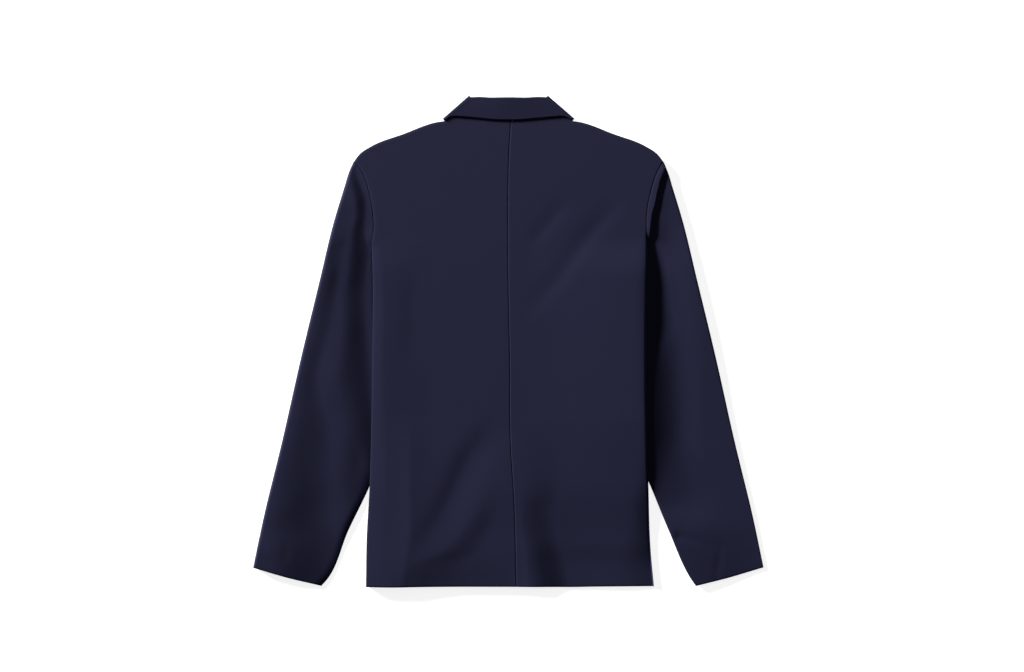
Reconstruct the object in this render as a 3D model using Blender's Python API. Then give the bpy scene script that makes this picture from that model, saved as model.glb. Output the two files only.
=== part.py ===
"""A tailored blazer laid flat on its front, back uppermost, with its sleeves beside the body.

Sizes and places are in millimetres. Seen from above, x runs to the right, y towards the
collar and z up; "out" is the distance from x = 0 on either side. Each cloth piece is a wall
through a grid of points between the four edges of its pattern piece.
"""

import math

import bmesh
import bpy
import numpy as np

MM = 0.001

# Cloth and the clearances between pieces
WALL = 2.0  # outer cloth with its interlining
SEAM_GAP = 0.3  # between two pieces at a seam, or where one layer lies on another
SEAM_OPENING = 1.2  # between the outer lips of a turned edge, whose inner lips are a seam gap apart
LAYER = WALL + SEAM_GAP
SEAM_DIP = 0.4  # how far the back sinks at its centre seam
INNER_GAP = 3.9  # air between the front and the back of the body

# Heights of the layers above the surface the blazer lies on
SLEEVE_TOP = 7.8  # upper side of a sleeve where it is fullest
TUCKED_TOP = 4.4  # upper side of a sleeve where the body lies on it
BODY_LIFT = 4.8  # underside of the front where it crosses a sleeve
BACK_TOP = 2 * WALL + INNER_GAP  # upper side of the back away from the sleeves
SIDE_TOP = 12.3  # upper side of the back over the sleeves
LAPEL_LIFT = 2.6  # underside of the front over its lapel and the collar
MOUTH_GAP = 0.6  # air left between the layers at the hem and the cuffs
CLOSING = 28.0  # length over which the layers come together there

# How far in from an edge the cloth starts to turn down, and how far it drops at the armhole
EDGE_ROUND = 4.0
TURN_ROOM = 2.2  # air between two layers that lets them turn fully
ARMHOLE_GAP = 0.5
ARMHOLE_ROUND = 2.0
ARMHOLE_DROP = 1.0
UNDERARM_BLEND = 30.0  # length over which the armhole edge turns into the side seam

LEFT = -1
RIGHT = 1
SIDE_NAMES = {LEFT: "left", RIGHT: "right"}

# Outlines, as (out, y) from the hem or cuff upwards unless a line says otherwise
SIDE_EDGE = {
    LEFT: [(213.6, -367.4), (212.6, -297), (208.4, -222), (204, -27), (203.3, 93), (205, 141)],
    RIGHT: [(218.2, -366.6), (213.3, -312), (209.8, -215), (207, -27), (207.6, 60), (209, 138)],
}
ARMHOLE = {
    LEFT: [(205, 141), (202.4, 178), (205.6, 208), (211, 232), (220, 256), (231.5, 271)],
    RIGHT: [(209, 138), (206.6, 165), (207.6, 196), (213.8, 228), (222, 253), (231.5, 271)],
}
SHOULDER = [(78.8, 346.2), (96.4, 331.4), (107, 329.8), (157.5, 312), (204.8, 294), (223, 282), (231.5, 271)]
NECK_POINT = SHOULDER[0]
BACK_NECK = [(0, 341), (30, 341.6), (60, 344), NECK_POINT]  # out from the centre back seam
CENTRE_BACK = [(11.9, -367.3), (8.4, -238), (3, -147), (2, -27), (-0.5, 120), (2.4, 310), (4.6, 341)]  # x, y
HEM_LEFT = [(-11.9, -367.3), (98, -367.3), (145, -367.6), (176, -368), (213.6, -367.4)]
HEM_RIGHT = [(11.9, -367.3), (60, -367.6), (92, -368), (130, -367.4), (218.2, -366.6)]
HEM = {LEFT: HEM_LEFT, RIGHT: HEM_RIGHT}

SLEEVE_OUTER = [(383, -338.4), (368, -267), (339, -147), (312, -27), (283, 93), (261, 183), (246.5, 231),
                (238, 258), (232.6, 270)]
SLEEVE_CUFF = [(383, -338.4), (331, -353.8), (281, -366.2)]  # outer corner to inner corner
SLEEVE_INNER = {
    LEFT: [(281, -366.2), (273.6, -358), (240, -282), (211, -222), (185, -160), (166, -90), (158, -20),
           (160, 40)],
    RIGHT: [(281, -366.2), (274, -356), (240, -282), (212, -214), (185, -155), (166, -90), (158, -20),
            (160, 40)],
}
SLEEVE_TUCK = {  # from the underarm to the top of the inner edge, beneath the body
    LEFT: [(205, 141), (177, 109), (164, 73), (160, 40)],
    RIGHT: [(209, 138), (179, 107), (164, 73), (160, 40)],
}
# Where the body is fully lifted by the tucked sleeve: at each y, everything further out than this
LIFT_FROM = [(-310, 275), (-250, 228), (-222, 206), (-160, 180), (-90, 160), (-20, 152), (50, 154),
             (108, 170), (140, 200), (180, 212), (240, 245)]  # y, out
LIFT_RAMP = 60.0

# Front edge, lapel and collar, as (out, y)
FRONT_OVERLAP = 12.0  # each front passes the centre by this much
FRONT_EDGE = [(-12, -367.3), (-12, -120), (-12, 60), (-12, 88), (-6, 112), (6.4, 134.5), (23, 207),
              (41.2, 285), (55.9, 354)]
LAPEL_ROLL = [(6, 136), (22, 207), (39.8, 283.4)]
LAPEL_EDGE = [(11, 134), (48, 174), (82, 213), (112, 250)]
GORGE_START = (40, 285)  # where the seam between the collar and the lapel leaves the roll
COLLAR_POINT = (95, 290)
GORGE_SHARE = 0.6  # of the collar's front end is sewn to the lapel; the rest is the notch
NOTCH_DROP = 18.8  # how far the end of that seam lies below the straight end
LAPEL_ZONE = [(95, -40), (128, 12), (172, 54), (212, 88), (250, 118), (290, 106), (340, 101)]  # y, out
LAPEL_FOOT = 127.0  # below this y the front has no lapel under it
LAPEL_FOOT_RAMP = 7.0
LAPEL_RAMP = 16.0
OVERLAP_LIFT = 2.6  # underside of the right front where it lies on the left one
OVERLAP_RAMP = 22.0

# Collar: the fall lies on the back, turns under at the neck sides and lies under the fronts
ROLL_Y = 367.0  # middle of the cloth at the roll, the top edge of the blazer
ROLL_SAG = 0.6  # how much lower the roll is at the centre than at its corners
ROLL_CORNER = (58.9, ROLL_Y + 0.6)
FALL_TIP = (98.2, 334.4)
FALL_EDGE = [(0, 332.4), (14, 332.5), (47, 335.6), (84, 338.8)]  # then to the tip
FALL_ROLL_RADIUS = 1.8
SIDE_ROLL_RADIUS = 1.3
FALL_EDGE_Z = BACK_TOP + SEAM_GAP + WALL / 2
STAND_Z = BACK_TOP - WALL / 2
LEAF_Z = WALL / 2
STAND_END = (76, 345.9)
STAND_TOP = (53, 362.6)
STAND_GAP = 0.8  # between the stand and the turned edge of the fall
BACK_COLUMNS = 13  # columns of the collar over half the back, round a neck side, down a front
TURN_COLUMNS = 8
LEAF_COLUMNS = 7

# Buttons on the front that lies undermost
BUTTON_RADIUS = 10.0
BUTTON_DEPTH = 2.0
BUTTON_PLACES = [("button_upper", 85.0), ("button_lower", -20.0)]  # name, y on the centre front
BUTTON_RIM = 2.2
BUTTON_DISH = 0.5
BUTTON_FLAT = 24.0
BUTTON_SPREAD = 52.0
BACK_BUTTON_SPREAD = 80.0
BACK_BUTTON_RISE = 1.8

# The largest folds: a soft trough along each line, in x or out and y, from its start to its end
BACK_FOLDS = [
    {"line": [(169, 213), (128, 168), (72, 93), (17, 33)], "half_width": 13, "depth": 1.0},
    {"line": [(89, 213), (52, 168), (22, 132)], "half_width": 11, "depth": 0.6},
    {"line": [(-22, -95), (-70, -207), (-110, -290), (-140, -340)], "half_width": 14, "depth": 1.1},
    {"line": [(-2, -190), (-37, -282), (-62, -335)], "half_width": 12, "depth": 1.0},
    {"line": [(52, -180), (62, -260), (84, -345)], "half_width": 18, "depth": 1.5},
]
SLEEVE_FOLDS = {
    LEFT: [
        {"line": [(233, 232), (228, 205), (225, 155), (231, 90)], "half_width": 9, "depth": 3.0},
        {"line": [(231, 120), (237, 63), (227, -36), (208, -125)], "half_width": 10, "depth": 1.8},
        {"line": [(318, -90), (306, -185), (302, -290)], "half_width": 13, "depth": 1.2},
    ],
    RIGHT: [
        {"line": [(240, 274), (229, 234), (223, 205), (215, 138), (213, 60)], "half_width": 8.5, "depth": 3.4},
        {"line": [(252, -292), (288, -300), (318, -312)], "half_width": 9, "depth": 1.2},
        {"line": [(212, 60), (214, -60), (222, -190), (232, -240)], "half_width": 11, "depth": 2.0},
    ],
}
SLEEVE_SHOULDER = 34.0  # distance over which a sleeve rises beside the body

CLOTH = (0.0185, 0.0194, 0.0452, 1)
CLOTH_UNDER = (0.0150, 0.0158, 0.0370, 1)
HORN = (0.0100, 0.0090, 0.0110, 1)


def smooth(share):
    share = np.clip(share, 0, 1)
    return share * share * (3 - 2 * share)


def along(points, shares):
    """Points on a smooth curve through the given ones, at these shares of its length."""
    points = np.array(points, float)
    knots = np.concatenate([[0], np.cumsum(np.linalg.norm(np.diff(points, axis=0), axis=1))])
    slopes = np.gradient(points, knots, axis=0)
    at = np.asarray(shares, float) * knots[-1]
    leg = np.clip(np.searchsorted(knots, at, side="right") - 1, 0, len(knots) - 2)
    length = (knots[leg + 1] - knots[leg])[:, None]
    t = (at - knots[leg])[:, None] / length
    start = (1 + 2 * t) * (1 - t) ** 2 * points[leg] + t * (1 - t) ** 2 * length * slopes[leg]
    end = t * t * (3 - 2 * t) * points[leg + 1] + t * t * (t - 1) * length * slopes[leg + 1]
    return start + end


def run(shares, *legs):
    """One edge of a pattern piece, from legs given as (share where it ends, its points)."""
    places = np.zeros((len(shares), 2))
    begun = 0.0
    for ended, points in legs:
        inside = (shares >= begun) & (shares <= ended)
        places[inside] = along(points, (shares[inside] - begun) / (ended - begun))
        begun = ended
    return places


def patch(across, up, bottom, top, inner, outer):
    """A grid of places filling the four edges: rows go up, columns go from inner to outer."""
    u = across[None, :, None]
    v = up[:, None, None]
    ruled = (1 - v) * bottom[None] + v * top[None] + (1 - u) * inner[:, None] + u * outer[:, None]
    low = (1 - u) * bottom[0] + u * bottom[-1]
    high = (1 - u) * top[0] + u * top[-1]
    return ruled - (1 - v) * low - v * high


def nearest(places, line):
    """Each place's distance to a line of points, and how far along the line that is."""
    line = np.array(line, float)
    best = np.full(places.shape[:-1], np.inf)
    share = np.zeros(places.shape[:-1])
    steps = len(line) - 1
    for number, (a, b) in enumerate(zip(line[:-1], line[1:])):
        t = np.clip(((places - a) @ (b - a)) / ((b - a) @ (b - a)), 0, 1)
        distance = np.linalg.norm(places - a - t[..., None] * (b - a), axis=-1)
        closer = distance < best
        best = np.where(closer, distance, best)
        share = np.where(closer, (number + t) / steps, share)
    return best, share


def edge_line(points):
    return along(points, np.linspace(0, 1, 161))


def rounding(distance, radius):
    """How much of its drop an edge still has at this distance in from it: 1 on the edge itself."""
    left = 1 - np.clip(distance / radius, 0, 1)
    return 1 - np.sqrt(1 - left**2)


def turn_depth(height):
    """How far each of two layers turns at an edge where they stand this high; none where they lie flat."""
    return (height - SEAM_OPENING) / 2 * smooth((height - 2 * WALL) / TURN_ROOM)


def troughs(places, folds):
    depth = np.zeros(places.shape[:-1])
    for fold in folds:
        distance, share = nearest(places, edge_line(fold["line"]))
        fade = smooth(share / 0.2) * smooth((1 - share) / 0.2)
        depth += fold["depth"] * fade * np.exp(-((distance / fold["half_width"]) ** 2))
    return depth


def edge_shares(span, radius=EDGE_ROUND):
    """Shares of a span that place three sections in the turned-down edge at its end."""
    return [1 - d * radius / span for d in (1.05, 0.5, 0.16, 0.04)] + [1.0]


# Levels of the body


def body_lift(places):
    """How much of the lift over a tucked sleeve the body has here, 0 to 1."""
    y, out = np.array(LIFT_FROM, float).T
    return smooth((places[..., 0] - np.interp(places[..., 1], y, out) + LIFT_RAMP) / LIFT_RAMP)


def over_buttons(places, flat, spread):
    rise = np.zeros(places.shape[:-1])
    for _, y in BUTTON_PLACES:
        distance = np.hypot(places[..., 0], places[..., 1] - y)
        rise = np.maximum(rise, smooth((spread - distance) / (spread - flat)))
    return rise


def front_level(places, side):
    """Underside of a front before its edges turn up."""
    out, y = places[..., 0], places[..., 1]
    zone_y, zone_out = np.array(LAPEL_ZONE, float).T
    over_lapel = LAPEL_LIFT * smooth((np.interp(y, zone_y, zone_out) - out) / LAPEL_RAMP + 1)
    over_lapel = over_lapel * smooth((y - LAPEL_FOOT) / LAPEL_FOOT_RAMP)
    level = over_lapel
    if side == RIGHT:
        lying_on = smooth((FRONT_OVERLAP + 2 + OVERLAP_RAMP - out) / OVERLAP_RAMP) * smooth((158 - y) / 25)
        level = np.maximum(level, OVERLAP_LIFT * lying_on)
    pressed = (BUTTON_DEPTH + SEAM_GAP) * over_buttons(places, BUTTON_FLAT, BUTTON_SPREAD)
    return level + pressed + BODY_LIFT * body_lift(places)


def back_level(places, side):
    """Upper side of the back before its edges turn down, its seam dips or it folds."""
    full = BACK_TOP + (SIDE_TOP - BACK_TOP) * body_lift(places)
    full = full + BACK_BUTTON_RISE * over_buttons(places, BUTTON_FLAT, BACK_BUTTON_SPREAD)
    hem_y = np.array(HEM[side])[:, 1].mean()
    closed = smooth((hem_y + CLOSING - places[..., 1]) / CLOSING)
    return full - (INNER_GAP - MOUTH_GAP) * closed * smooth((places[..., 0] - 60) / 20)


def body_edge(places, side, top, bottom):
    """The drop or rise of the body's layers at the side seam, the armhole and the shoulder."""
    half = turn_depth(top - bottom)
    to_side, _ = nearest(places, edge_line(SIDE_EDGE[side]))
    to_armhole, _ = nearest(places, edge_line(ARMHOLE[side]))
    to_shoulder, _ = nearest(places, edge_line(SHOULDER))
    underarm_y = ARMHOLE[side][0][1]
    opened = smooth((places[..., 1] - underarm_y) / UNDERARM_BLEND)
    at_side = half * rounding(to_side, EDGE_ROUND)
    at_armhole = (half + (ARMHOLE_DROP - half) * opened) * rounding(to_armhole, ARMHOLE_ROUND)
    from_neck = np.linalg.norm(places - NECK_POINT, axis=-1)
    at_shoulder = half * rounding(to_shoulder, EDGE_ROUND) * (0.3 + 0.7 * smooth(from_neck / 14))
    return np.maximum(np.maximum(at_side, at_armhole), at_shoulder)


# Meshes


def material(name, colour, roughness):
    made = bpy.data.materials.new(name)
    made.use_nodes = True
    shader = made.node_tree.nodes["Principled BSDF"]
    shader.inputs["Base Color"].default_value = colour
    shader.inputs["Roughness"].default_value = roughness
    shader.inputs["Metallic"].default_value = 0.0
    return made


def placed(name, form, colour, roughness):
    for face in form.faces:
        face.smooth = True
    mesh = bpy.data.meshes.new(name)
    form.to_mesh(mesh)
    form.free()
    made = bpy.data.objects.new(name, mesh)
    made.data.materials.append(material(name, colour, roughness))
    bpy.context.scene.collection.objects.link(made)
    return made


def cloth(name, points, faces_up, colour=CLOTH, offset=-1.0):
    """A wall of cloth on a grid of points: its outer side on them, or its middle with offset 0."""
    rows, columns = points.shape[:2]
    form = bmesh.new()
    bmesh.ops.create_grid(form, x_segments=columns - 1, y_segments=rows - 1, size=0.5)
    for vert in form.verts:
        column = round((vert.co.x + 0.5) * (columns - 1))
        row = round((vert.co.y + 0.5) * (rows - 1))
        vert.co = points[row, column] * MM
    form.normal_update()
    if (sum(face.normal.z * face.calc_area() for face in form.faces) > 0) != faces_up:
        bmesh.ops.reverse_faces(form, faces=form.faces)
    made = placed(name, form, colour, 0.85)
    wall = made.modifiers.new("wall", "SOLIDIFY")
    wall.thickness = WALL * MM
    wall.offset = offset
    return made


def with_height(places, side, z):
    return np.stack([side * places[..., 0], places[..., 1], z], axis=-1)


def back_half(side):
    across = np.array([0, 0.012, 0.045, *np.linspace(0.12, 0.93, 10), *edge_shares(205)])
    up = np.array([*np.linspace(0, 0.11, 4), *np.linspace(0.165, 0.965, 19), *edge_shares(640)])
    neck_share = across[6]
    armhole_share = up[16]
    centre = np.array(CENTRE_BACK) * (side, 1) + (SEAM_GAP / 2, 0)
    neck = [centre[-1], *BACK_NECK[1:]]
    places = patch(
        across,
        up,
        bottom=run(across, (1, [centre[0], *HEM[side][1:]])),
        top=run(across, (neck_share, neck), (1, SHOULDER)),
        inner=run(up, (1, centre)),
        outer=run(up, (armhole_share, SIDE_EDGE[side]), (1, ARMHOLE[side])),
    )
    seen = places * (side, 1)
    to_seam, _ = nearest(seen, edge_line(CENTRE_BACK))
    flat = back_level(places, side)
    under = front_level(places, side)
    z = flat - troughs(seen, BACK_FOLDS) - SEAM_DIP * rounding(to_seam, 6)
    z = np.maximum(z, under + WALL + LAYER)
    z = z - body_edge(places, side, flat, under)
    cloth(f"back_{SIDE_NAMES[side]}", with_height(places, side, z), faces_up=True)


def front_half(side):
    across = np.array([*np.linspace(0, 0.93, 13), *edge_shares(215)])
    by_buttons = [*np.linspace(0, 0.461, 10), *np.linspace(0.499, 0.606, 4), 0.64]
    up = np.array([*by_buttons, 0.68, *np.linspace(0.692, 0.96, 7), *edge_shares(640)])
    neck_share = across[2]
    armhole_share = up[16]
    places = patch(
        across,
        up,
        bottom=run(across, (1, [FRONT_EDGE[0], *HEM[side][1:]])),
        top=run(across, (neck_share, [FRONT_EDGE[-1], NECK_POINT]), (1, SHOULDER)),
        inner=run(up, (1, FRONT_EDGE)),
        outer=run(up, (armhole_share, SIDE_EDGE[side]), (1, ARMHOLE[side])),
    )
    level = front_level(places, side)
    z = level + body_edge(places, side, back_level(places, side), level)
    name = f"front_{SIDE_NAMES[side]}"
    cloth(name, with_height(places, side, z), faces_up=False, colour=CLOTH_UNDER)


def sleeve(side):
    turned = edge_shares(105)
    across = np.array([1 - share for share in turned[::-1]] + [*np.linspace(0.1, 0.9, 8)] + turned)
    up = np.array([*np.linspace(0, 0.045, 3), *np.linspace(0.1, 0.9, 18), *np.linspace(0.93, 1, 3)])
    armhole = np.array(ARMHOLE[side][::-1], float) + (ARMHOLE_GAP, 0)
    armhole[0] = SLEEVE_OUTER[-1]
    tuck = [armhole[-1], *SLEEVE_TUCK[side][1:]]
    places = patch(
        across,
        up,
        bottom=run(across, (1, SLEEVE_CUFF)),
        top=run(across, (across[8], armhole), (1, tuck)),
        inner=run(up, (1, SLEEVE_OUTER)),
        outer=run(up, (1, SLEEVE_INNER[side])),
    )
    out, y = places[..., 0], places[..., 1]
    underarm_y = ARMHOLE[side][0][1]
    body_out = np.interp(y, *np.array(SIDE_EDGE[side])[:, ::-1].T)
    clear_of_body = smooth((out - body_out) / SLEEVE_SHOULDER)
    opened = smooth((y - underarm_y) / UNDERARM_BLEND)
    to_cuff, _ = nearest(places, SLEEVE_CUFF)
    closed = (INNER_GAP - MOUTH_GAP) * smooth(1 - to_cuff / CLOSING)
    to_armhole, _ = nearest(places, edge_line(ARMHOLE[side]))
    seam_top = back_level(places, side) - ARMHOLE_DROP
    fullest = SLEEVE_TOP - closed
    beside_seam = (1 - smooth(to_armhole / 16)) * opened
    top = TUCKED_TOP + (fullest - TUCKED_TOP) * np.maximum(clear_of_body, opened)
    top = top + (np.maximum(seam_top, top) - top) * beside_seam
    top = np.maximum(top - troughs(places, SLEEVE_FOLDS[side]) * (1 - beside_seam), TUCKED_TOP)
    half = turn_depth(top)
    to_outer, _ = nearest(places, edge_line(SLEEVE_OUTER))
    to_inner, _ = nearest(places, edge_line([*SLEEVE_INNER[side], *SLEEVE_TUCK[side][-2::-1]]))
    turn = half * np.maximum(rounding(to_outer, EDGE_ROUND), rounding(to_inner, EDGE_ROUND))
    name = SIDE_NAMES[side]
    cloth(f"sleeve_{name}_upper", with_height(places, side, top - turn), faces_up=True)
    under = with_height(places, side, turn)
    cloth(f"sleeve_{name}_under", under, faces_up=False, colour=CLOTH_UNDER)


def rolled_strip(name, roll, edge, inward, radius, dropped=0.0):
    """A strip of cloth between its roll line and its outer edge, its roll turned inward.

    Each column may be dropped in y, most at the end of the gorge seam.
    """
    toward_roll = roll - edge
    toward_roll /= np.linalg.norm(toward_roll, axis=-1, keepdims=True)
    rows = []
    for angle in np.radians([180, 135, 90, 45]):
        turned = math.sin(angle) * toward_roll + (1 - math.cos(angle)) * inward
        rows.append(roll + radius * turned)
    for share in np.linspace(0, 1, 6):
        row = roll + share * (edge - roll)
        row[:, 1] -= dropped * min(share / GORGE_SHARE, (1 - share) / (1 - GORGE_SHARE))
        rows.append(row)
    cloth(name, np.array(rows), faces_up=True, offset=0.0)


def collar_line(on_back, turn_from, z_back, ended):
    """One line along half the collar: over the back, round the neck side and to its front end."""
    fold = np.subtract(FALL_TIP, ROLL_CORNER)
    outward = np.array([-fold[1], fold[0]]) / np.linalg.norm(fold)
    z_turn = turn_from[2]
    radius = (z_turn - LEAF_Z) / 2
    base = np.array(turn_from[:2]) - outward * radius
    shares = np.linspace(0, 1, BACK_COLUMNS)[:-1]
    heights = z_back + (z_turn - z_back) * smooth(shares)
    points = [(x, y, z) for (x, y), z in zip(along([*on_back, base], shares), heights)]
    inward = [(0, 0, -1)] * len(points)
    for angle in np.linspace(0, math.pi, TURN_COLUMNS):
        side = outward * math.sin(angle)
        points.append((*(base + radius * side), LEAF_Z + radius * (1 + math.cos(angle))))
        inward.append((*-side, -math.cos(angle)))
    for share in np.linspace(0, 1, LEAF_COLUMNS)[1:]:
        points.append((*(base + share * (ended - base)), LEAF_Z))
        inward.append((0, 0, 1))
    return np.array(points), np.array(inward)


def collar():
    """The fall, from one front end round the back neck to the other."""
    fold = np.subtract(FALL_TIP, ROLL_CORNER)
    corner = np.array(ROLL_CORNER) + fold / np.linalg.norm(fold) * SIDE_ROLL_RADIUS
    roll_start = (0, ROLL_Y - ROLL_SAG - FALL_ROLL_RADIUS)
    roll, inward = collar_line(
        [roll_start, (30, roll_start[1])],
        (*corner, STAND_Z + 2 * SIDE_ROLL_RADIUS),
        STAND_Z + 2 * FALL_ROLL_RADIUS,
        GORGE_START,
    )
    edge, _ = collar_line(FALL_EDGE, (*FALL_TIP, FALL_EDGE_Z), FALL_EDGE_Z, COLLAR_POINT)
    count = len(roll)
    tightening = smooth(np.arange(count) / (BACK_COLUMNS - 1))
    radius = FALL_ROLL_RADIUS + (SIDE_ROLL_RADIUS - FALL_ROLL_RADIUS) * tightening
    leaf = np.arange(count) - (count - LEAF_COLUMNS)
    dropped = NOTCH_DROP * np.clip(leaf / (LEAF_COLUMNS - 1), 0, 1) ** 2
    mirror = np.array([-1, 1, 1])
    both = [np.concatenate([part[::-1] * mirror, part[1:]]) for part in (roll, edge, inward)]
    radii = np.concatenate([radius[::-1], radius[1:]])[:, None]
    rolled_strip("collar", *both, radii, np.concatenate([dropped[::-1], dropped[1:]]))


def collar_stand():
    """The band inside the fall, from the back neckline up to the roll."""
    across = np.linspace(0, 1, 17)
    up = np.linspace(0, 1, 4)
    half_neck = [(0, BACK_NECK[0][1]), *BACK_NECK[1:-1], STAND_END]
    neck = [(-x, y) for x, y in half_neck[:0:-1]] + half_neck
    top = [(-STAND_TOP[0], STAND_TOP[1]), (0, ROLL_Y - ROLL_SAG - FALL_ROLL_RADIUS - STAND_GAP), STAND_TOP]
    neck = run(across, (1, neck)) + (0, SEAM_GAP)
    roll = run(across, (1, top))
    places = patch(
        across,
        up,
        bottom=neck,
        top=roll,
        inner=neck[0] + up[:, None] * (roll[0] - neck[0]),
        outer=neck[-1] + up[:, None] * (roll[-1] - neck[-1]),
    )
    points = np.concatenate([places, np.full((*places.shape[:2], 1), BACK_TOP)], axis=-1)
    cloth("collar_stand", points, faces_up=True, colour=CLOTH_UNDER)


def lapel(side):
    shares = np.linspace(0, 1, 12)
    roll = along(LAPEL_ROLL, shares)
    edge = along(LAPEL_EDGE, shares)
    level = np.full((len(shares), 1), LEAF_Z)
    mirror = np.array([side, 1, 1])
    upward = np.tile([0.0, 0.0, 1.0], (len(shares), 1))
    name = f"lapel_{SIDE_NAMES[side]}"
    roll = np.hstack([roll, level]) * mirror
    edge = np.hstack([edge, level]) * mirror
    rolled_strip(name, roll, edge, upward, SIDE_ROLL_RADIUS)


def button(name, y):
    """A horn button with a dished face, its face against the surface the blazer lies on."""
    form = bmesh.new()
    disc = bmesh.ops.create_cone(
        form, cap_ends=True, segments=24, radius1=BUTTON_RADIUS * MM, radius2=BUTTON_RADIUS * MM,
        depth=BUTTON_DEPTH * MM
    )
    bmesh.ops.translate(form, verts=disc["verts"], vec=(0, y * MM, BUTTON_DEPTH / 2 * MM))
    caps = [face for face in form.faces if len(face.verts) > 4]
    rims = [edge for face in caps for edge in face.edges]
    bmesh.ops.bevel(form, geom=rims, offset=0.4 * MM, segments=1, profile=0.5, affect="EDGES", material=-1)
    dish = [face for face in form.faces if len(face.verts) > 4 and face.normal.z < 0]
    bmesh.ops.inset_region(form, faces=dish, thickness=BUTTON_RIM * MM)
    bmesh.ops.translate(form, verts=dish[0].verts, vec=(0, 0, BUTTON_DISH * MM))
    placed(name, form, HORN, 0.35)


def remove_everything():
    for old in list(bpy.data.objects):
        bpy.data.objects.remove(old)


remove_everything()
for body_side in (LEFT, RIGHT):
    back_half(body_side)
    front_half(body_side)
    lapel(body_side)
    sleeve(body_side)
collar()
collar_stand()
for button_name, button_y in BUTTON_PLACES:
    button(button_name, button_y)
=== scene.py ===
"""A navy tailored blazer lying on its front on a pale surface, seen from straight above.

Sizes in the tables are in millimetres: x runs to the right, y towards the collar, z up, and
"out" is the distance from x = 0 on either side. The cut lines are the ones of the solids.
"""

import math

import bmesh
import bpy
import numpy as np
from mathutils import Matrix


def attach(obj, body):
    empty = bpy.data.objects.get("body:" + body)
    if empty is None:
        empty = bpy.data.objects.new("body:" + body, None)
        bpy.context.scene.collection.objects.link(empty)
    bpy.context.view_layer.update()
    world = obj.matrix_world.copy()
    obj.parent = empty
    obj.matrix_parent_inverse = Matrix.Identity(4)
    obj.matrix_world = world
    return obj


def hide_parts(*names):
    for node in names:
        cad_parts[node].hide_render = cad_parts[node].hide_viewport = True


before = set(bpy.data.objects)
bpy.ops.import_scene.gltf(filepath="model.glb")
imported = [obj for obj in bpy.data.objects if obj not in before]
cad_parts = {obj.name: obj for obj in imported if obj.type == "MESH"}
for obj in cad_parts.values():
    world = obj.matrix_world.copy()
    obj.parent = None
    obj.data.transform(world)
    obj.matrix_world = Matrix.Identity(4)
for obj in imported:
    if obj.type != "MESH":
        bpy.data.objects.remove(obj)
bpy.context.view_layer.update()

MM = 0.001
LEFT = -1
RIGHT = 1
SIDE_NAMES = {LEFT: "left", RIGHT: "right"}

# Cloth
SUITING = 1.1  # thickness of one panel with its interlining
COLLAR_CLOTH = 1.25
SEAM = 0.1  # gap left between two sewn edges
LAYER_GAP = 0.2  # least room between the cloth of a back and of its front
STEP = 3.0  # spacing of the sections across a panel
FRONT_STEP = 7
SLEEVE_STEP = 2.6
EDGE_SECTIONS = [0, 0.15, 0.6, 1.3, 2.2, 3.4, 5.0]  # distances of the first sections from an edge
CENTRE_SECTIONS = [0, 0.1, 0.4, 0.8, 1.3, 2.0, 3.2]
HEM_SECTIONS = [0, 0.3, 1, 2]
FRONT_SECTIONS = [0, 0.3, 1.2]
SLEEVE_SECTIONS = [0, 0.4, 1.2, 2.4, 4.0]
HEAD_SECTIONS = [0, 0.3, 0.9, 1.7, 2.6, *np.arange(3.7, 30, 1.2)]
# Width and length that each panel's sections are spaced for, and the share of its top that is neck
# or armhole
BACK_GRID = (225, 715, 0.34)
FRONT_GRID = (232, 730, 0.12)
SLEEVE_GRID = (140, 640, 0.44)
UNDERARM_SHARE = 0.70  # of a body panel's length, from its hem

# Heights above the surface that the blazer lies on
BACK_HEIGHT = [(-367, 12.2), (-300, 11.4), (-180, 10.5), (60, 10.4), (200, 9.4), (341, 8.2)]  # (y, z)
NECK_TOP = BACK_HEIGHT[-1][1]
# The back's rise where it lies over a sleeve: height, out where it begins, reach across, y where it
# begins and reach upwards
SIDE_RISE = {LEFT: (1.4, 110, 90, -300, 120), RIGHT: (3.6, 20, 185, -330, 230)}
SIDE_RISE_TOP = 160
SIDE_RISE_FADE = 60
TUCKED_TOP = 4.2  # upper side of a sleeve where the body lies on it
BODY_LIFT = 4.8  # underside of the front where it crosses a sleeve
LAPEL_LIFT = 2.6
OVERLAP_LIFT = 2.6
BUTTON_LIFT = 2.3

# Cut lines, as (out, y) from the hem or cuff upwards
SIDE_EDGE = {
    LEFT: [(213.6, -367.4), (212.6, -297), (208.4, -222), (204, -27), (203.3, 93), (205, 141)],
    RIGHT: [(218.2, -366.6), (213.3, -312), (209.8, -215), (207, -27), (207.6, 60), (209, 138)],
}
ARMHOLE = {
    LEFT: [(205, 141), (202.4, 178), (205.6, 208), (211, 232), (220, 256), (231.5, 271)],
    RIGHT: [(209, 138), (206.6, 165), (207.6, 196), (213.8, 228), (222, 253), (231.5, 271)],
}
SHOULDER = [(78.8, 346.2), (96.4, 331.4), (107, 329.8), (157.5, 312), (204.8, 294), (223, 282), (231.5, 271)]
NECK_POINT = SHOULDER[0]
BACK_NECK = [(0, 341), (30, 341.6), (60, 344), NECK_POINT]
CENTRE_BACK = [(11.9, -367.3), (8.4, -238), (3, -147), (2, -27), (-0.5, 120), (2.4, 310), (4.6, 341)]
HEM = {
    LEFT: [(-11.9, -367.3), (98, -367.3), (145, -367.6), (176, -368), (213.6, -367.4)],
    RIGHT: [(11.9, -367.3), (60, -367.6), (92, -368), (130, -367.4), (218.2, -366.6)],
}
SLEEVE_OUTER = [(383, -338.4), (368, -267), (339, -147), (312, -27), (283, 93), (261, 183), (246.5, 231),
                (238, 258), (232.6, 270)]
SLEEVE_CUFF = [(383, -338.4), (331, -353.8), (281, -366.2)]
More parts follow.
